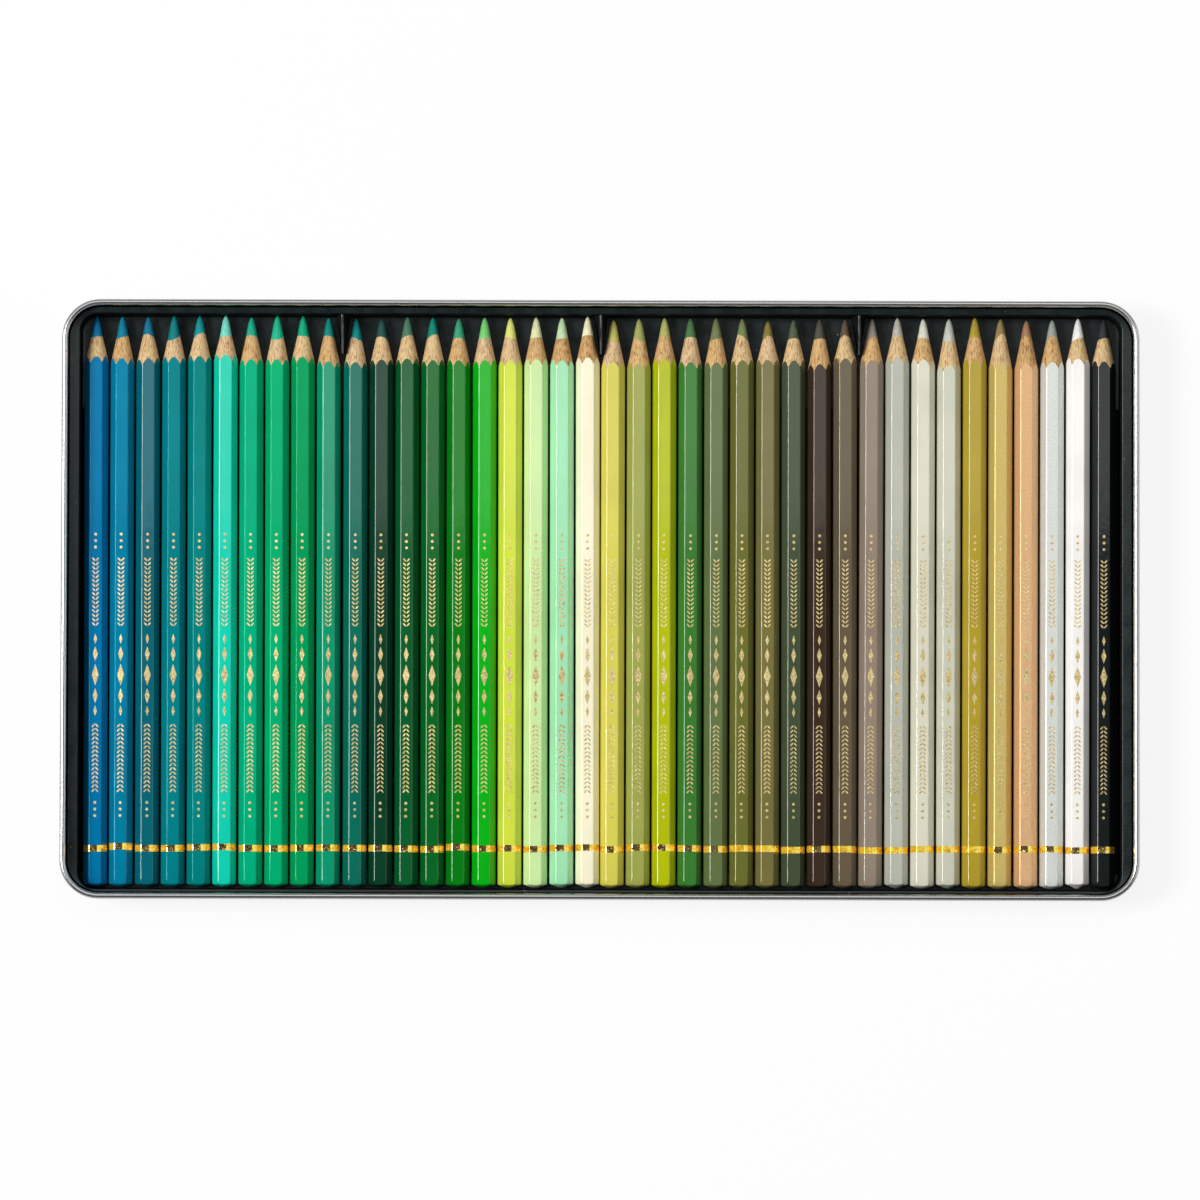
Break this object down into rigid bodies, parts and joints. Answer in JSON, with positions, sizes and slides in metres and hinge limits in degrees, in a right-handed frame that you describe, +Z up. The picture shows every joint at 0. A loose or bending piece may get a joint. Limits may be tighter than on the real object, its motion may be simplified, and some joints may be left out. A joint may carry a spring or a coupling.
{
  "type": "colored pencil box",
  "caption": "Open rectangular metal tin with a rolled rim and round corners, holding a lift-out black plastic tray of sharpened hexagonal coloured pencils laid side by side.",
  "frame": {"origin": "on the table, under the middle of the tin", "axes": "+X along the long side, +Y towards the sharpened tips, +Z up out of the tin"},
  "size_m": [0.3286, 0.1828, 0.016],
  "materials": {
    "tinplate": "satin silver",
    "black_plastic": "gloss",
    "lacquer_cerulean_blue": "gloss lacquer over cedar",
    "lacquer_cyan_blue": "gloss lacquer over cedar",
    "lacquer_petrol_blue": "gloss lacquer over cedar",
    "lacquer_teal_blue": "gloss lacquer over cedar",
    "lacquer_deep_turquoise": "gloss lacquer over cedar",
    "lacquer_light_turquoise": "gloss lacquer over cedar",
    "lacquer_emerald": "gloss lacquer over cedar",
    "lacquer_jade_green": "gloss lacquer over cedar",
    "lacquer_viridian": "gloss lacquer over cedar",
    "lacquer_sea_green": "gloss lacquer over cedar",
    "lacquer_dark_teal": "gloss lacquer over cedar",
    "lacquer_night_green": "gloss lacquer over cedar",
    "lacquer_fir_green": "gloss lacquer over cedar",
    "lacquer_forest_green": "gloss lacquer over cedar",
    "lacquer_leaf_green": "gloss lacquer over cedar",
    "lacquer_bright_green": "gloss lacquer over cedar",
    "lacquer_lime_yellow": "gloss lacquer over cedar",
    "lacquer_pale_lime": "gloss lacquer over cedar",
    "lacquer_mint_green": "gloss lacquer over cedar",
    "lacquer_cream": "gloss lacquer over cedar",
    "lacquer_straw_yellow": "gloss lacquer over cedar",
    "lacquer_khaki_green": "gloss lacquer over cedar",
    "lacquer_acid_green": "gloss lacquer over cedar",
    "lacquer_moss_green": "gloss lacquer over cedar",
    "lacquer_grey_green": "gloss lacquer over cedar",
    "lacquer_olive_green": "gloss lacquer over cedar",
    "lacquer_olive_brown": "gloss lacquer over cedar",
    "lacquer_dark_grey_green": "gloss lacquer over cedar",
    "lacquer_dark_brown": "gloss lacquer over cedar",
    "lacquer_brown_grey": "gloss lacquer over cedar",
    "lacquer_warm_grey": "gloss lacquer over cedar",
    "lacquer_light_grey": "gloss lacquer over cedar",
    "lacquer_pale_beige": "gloss lacquer over cedar",
    "lacquer_ash_grey": "gloss lacquer over cedar",
    "lacquer_ochre": "gloss lacquer over cedar",
    "lacquer_gold": "gloss lacquer over cedar",
    "lacquer_copper": "gloss lacquer over cedar",
    "lacquer_silver": "gloss lacquer over cedar",
    "lacquer_white": "gloss lacquer over cedar",
    "lacquer_black": "gloss lacquer over cedar"
  },
  "bodies": {
    "tin": {"tin_base": "tinplate"},
    "tray": {"pencil_tray": "black_plastic"},
    "pencil_01": {"pencil_01_cerulean_blue": "lacquer_cerulean_blue"},
    "pencil_02": {"pencil_02_cyan_blue": "lacquer_cyan_blue"},
    "pencil_03": {"pencil_03_petrol_blue": "lacquer_petrol_blue"},
    "pencil_04": {"pencil_04_teal_blue": "lacquer_teal_blue"},
    "pencil_05": {"pencil_05_deep_turquoise": "lacquer_deep_turquoise"},
    "pencil_06": {"pencil_06_light_turquoise": "lacquer_light_turquoise"},
    "pencil_07": {"pencil_07_emerald": "lacquer_emerald"},
    "pencil_08": {"pencil_08_jade_green": "lacquer_jade_green"},
    "pencil_09": {"pencil_09_viridian": "lacquer_viridian"},
    "pencil_10": {"pencil_10_sea_green": "lacquer_sea_green"},
    "pencil_11": {"pencil_11_dark_teal": "lacquer_dark_teal"},
    "pencil_12": {"pencil_12_night_green": "lacquer_night_green"},
    "pencil_13": {"pencil_13_fir_green": "lacquer_fir_green"},
    "pencil_14": {"pencil_14_forest_green": "lacquer_forest_green"},
    "pencil_15": {"pencil_15_leaf_green": "lacquer_leaf_green"},
    "pencil_16": {"pencil_16_bright_green": "lacquer_bright_green"},
    "pencil_17": {"pencil_17_lime_yellow": "lacquer_lime_yellow"},
    "pencil_18": {"pencil_18_pale_lime": "lacquer_pale_lime"},
    "pencil_19": {"pencil_19_mint_green": "lacquer_mint_green"},
    "pencil_20": {"pencil_20_cream": "lacquer_cream"},
    "pencil_21": {"pencil_21_straw_yellow": "lacquer_straw_yellow"},
    "pencil_22": {"pencil_22_khaki_green": "lacquer_khaki_green"},
    "pencil_23": {"pencil_23_acid_green": "lacquer_acid_green"},
    "pencil_24": {"pencil_24_moss_green": "lacquer_moss_green"},
    "pencil_25": {"pencil_25_grey_green": "lacquer_grey_green"},
    "pencil_26": {"pencil_26_olive_green": "lacquer_olive_green"},
    "pencil_27": {"pencil_27_olive_brown": "lacquer_olive_brown"},
    "pencil_28": {"pencil_28_dark_grey_green": "lacquer_dark_grey_green"},
    "pencil_29": {"pencil_29_dark_brown": "lacquer_dark_brown"},
    "pencil_30": {"pencil_30_brown_grey": "lacquer_brown_grey"},
    "pencil_31": {"pencil_31_warm_grey": "lacquer_warm_grey"},
    "pencil_32": {"pencil_32_light_grey": "lacquer_light_grey"},
    "pencil_33": {"pencil_33_pale_beige": "lacquer_pale_beige"},
    "pencil_34": {"pencil_34_ash_grey": "lacquer_ash_grey"},
    "pencil_35": {"pencil_35_ochre": "lacquer_ochre"},
    "pencil_36": {"pencil_36_gold": "lacquer_gold"},
    "pencil_37": {"pencil_37_copper": "lacquer_copper"},
    "pencil_38": {"pencil_38_silver": "lacquer_silver"},
    "pencil_39": {"pencil_39_white": "lacquer_white"},
    "pencil_40": {"pencil_40_black": "lacquer_black"}
  },
  "joints": [
    {"name": "tray_lift", "type": "slide", "parent": "tin", "child": "tray", "axis": [0, 0, 1], "range_m": [0, 0.03]},
    {"name": "pencil_01_lift", "type": "slide", "parent": "tray", "child": "pencil_01", "axis": [0, 0, 1], "range_m": [0, 0.03]},
    {"name": "pencil_02_lift", "type": "slide", "parent": "tray", "child": "pencil_02", "axis": [0, 0, 1], "range_m": [0, 0.03]},
    {"name": "pencil_03_lift", "type": "slide", "parent": "tray", "child": "pencil_03", "axis": [0, 0, 1], "range_m": [0, 0.03]},
    {"name": "pencil_04_lift", "type": "slide", "parent": "tray", "child": "pencil_04", "axis": [0, 0, 1], "range_m": [0, 0.03]},
    {"name": "pencil_05_lift", "type": "slide", "parent": "tray", "child": "pencil_05", "axis": [0, 0, 1], "range_m": [0, 0.03]},
    {"name": "pencil_06_lift", "type": "slide", "parent": "tray", "child": "pencil_06", "axis": [0, 0, 1], "range_m": [0, 0.03]},
    {"name": "pencil_07_lift", "type": "slide", "parent": "tray", "child": "pencil_07", "axis": [0, 0, 1], "range_m": [0, 0.03]},
    {"name": "pencil_08_lift", "type": "slide", "parent": "tray", "child": "pencil_08", "axis": [0, 0, 1], "range_m": [0, 0.03]},
    {"name": "pencil_09_lift", "type": "slide", "parent": "tray", "child": "pencil_09", "axis": [0, 0, 1], "range_m": [0, 0.03]},
    {"name": "pencil_10_lift", "type": "slide", "parent": "tray", "child": "pencil_10", "axis": [0, 0, 1], "range_m": [0, 0.03]},
    {"name": "pencil_11_lift", "type": "slide", "parent": "tray", "child": "pencil_11", "axis": [0, 0, 1], "range_m": [0, 0.03]},
    {"name": "pencil_12_lift", "type": "slide", "parent": "tray", "child": "pencil_12", "axis": [0, 0, 1], "range_m": [0, 0.03]},
    {"name": "pencil_13_lift", "type": "slide", "parent": "tray", "child": "pencil_13", "axis": [0, 0, 1], "range_m": [0, 0.03]},
    {"name": "pencil_14_lift", "type": "slide", "parent": "tray", "child": "pencil_14", "axis": [0, 0, 1], "range_m": [0, 0.03]},
    {"name": "pencil_15_lift", "type": "slide", "parent": "tray", "child": "pencil_15", "axis": [0, 0, 1], "range_m": [0, 0.03]},
    {"name": "pencil_16_lift", "type": "slide", "parent": "tray", "child": "pencil_16", "axis": [0, 0, 1], "range_m": [0, 0.03]},
    {"name": "pencil_17_lift", "type": "slide", "parent": "tray", "child": "pencil_17", "axis": [0, 0, 1], "range_m": [0, 0.03]},
    {"name": "pencil_18_lift", "type": "slide", "parent": "tray", "child": "pencil_18", "axis": [0, 0, 1], "range_m": [0, 0.03]},
    {"name": "pencil_19_lift", "type": "slide", "parent": "tray", "child": "pencil_19", "axis": [0, 0, 1], "range_m": [0, 0.03]},
    {"name": "pencil_20_lift", "type": "slide", "parent": "tray", "child": "pencil_20", "axis": [0, 0, 1], "range_m": [0, 0.03]},
    {"name": "pencil_21_lift", "type": "slide", "parent": "tray", "child": "pencil_21", "axis": [0, 0, 1], "range_m": [0, 0.03]},
    {"name": "pencil_22_lift", "type": "slide", "parent": "tray", "child": "pencil_22", "axis": [0, 0, 1], "range_m": [0, 0.03]},
    {"name": "pencil_23_lift", "type": "slide", "parent": "tray", "child": "pencil_23", "axis": [0, 0, 1], "range_m": [0, 0.03]},
    {"name": "pencil_24_lift", "type": "slide", "parent": "tray", "child": "pencil_24", "axis": [0, 0, 1], "range_m": [0, 0.03]},
    {"name": "pencil_25_lift", "type": "slide", "parent": "tray", "child": "pencil_25", "axis": [0, 0, 1], "range_m": [0, 0.03]},
    {"name": "pencil_26_lift", "type": "slide", "parent": "tray", "child": "pencil_26", "axis": [0, 0, 1], "range_m": [0, 0.03]},
    {"name": "pencil_27_lift", "type": "slide", "parent": "tray", "child": "pencil_27", "axis": [0, 0, 1], "range_m": [0, 0.03]},
    {"name": "pencil_28_lift", "type": "slide", "parent": "tray", "child": "pencil_28", "axis": [0, 0, 1], "range_m": [0, 0.03]},
    {"name": "pencil_29_lift", "type": "slide", "parent": "tray", "child": "pencil_29", "axis": [0, 0, 1], "range_m": [0, 0.03]},
    {"name": "pencil_30_lift", "type": "slide", "parent": "tray", "child": "pencil_30", "axis": [0, 0, 1], "range_m": [0, 0.03]},
    {"name": "pencil_31_lift", "type": "slide", "parent": "tray", "child": "pencil_31", "axis": [0, 0, 1], "range_m": [0, 0.03]},
    {"name": "pencil_32_lift", "type": "slide", "parent": "tray", "child": "pencil_32", "axis": [0, 0, 1], "range_m": [0, 0.03]},
    {"name": "pencil_33_lift", "type": "slide", "parent": "tray", "child": "pencil_33", "axis": [0, 0, 1], "range_m": [0, 0.03]},
    {"name": "pencil_34_lift", "type": "slide", "parent": "tray", "child": "pencil_34", "axis": [0, 0, 1], "range_m": [0, 0.03]},
    {"name": "pencil_35_lift", "type": "slide", "parent": "tray", "child": "pencil_35", "axis": [0, 0, 1], "range_m": [0, 0.03]},
    {"name": "pencil_36_lift", "type": "slide", "parent": "tray", "child": "pencil_36", "axis": [0, 0, 1], "range_m": [0, 0.03]},
    {"name": "pencil_37_lift", "type": "slide", "parent": "tray", "child": "pencil_37", "axis": [0, 0, 1], "range_m": [0, 0.03]},
    {"name": "pencil_38_lift", "type": "slide", "parent": "tray", "child": "pencil_38", "axis": [0, 0, 1], "range_m": [0, 0.03]},
    {"name": "pencil_39_lift", "type": "slide", "parent": "tray", "child": "pencil_39", "axis": [0, 0, 1], "range_m": [0, 0.03]},
    {"name": "pencil_40_lift", "type": "slide", "parent": "tray", "child": "pencil_40", "axis": [0, 0, 1], "range_m": [0, 0.03]}
  ]
}
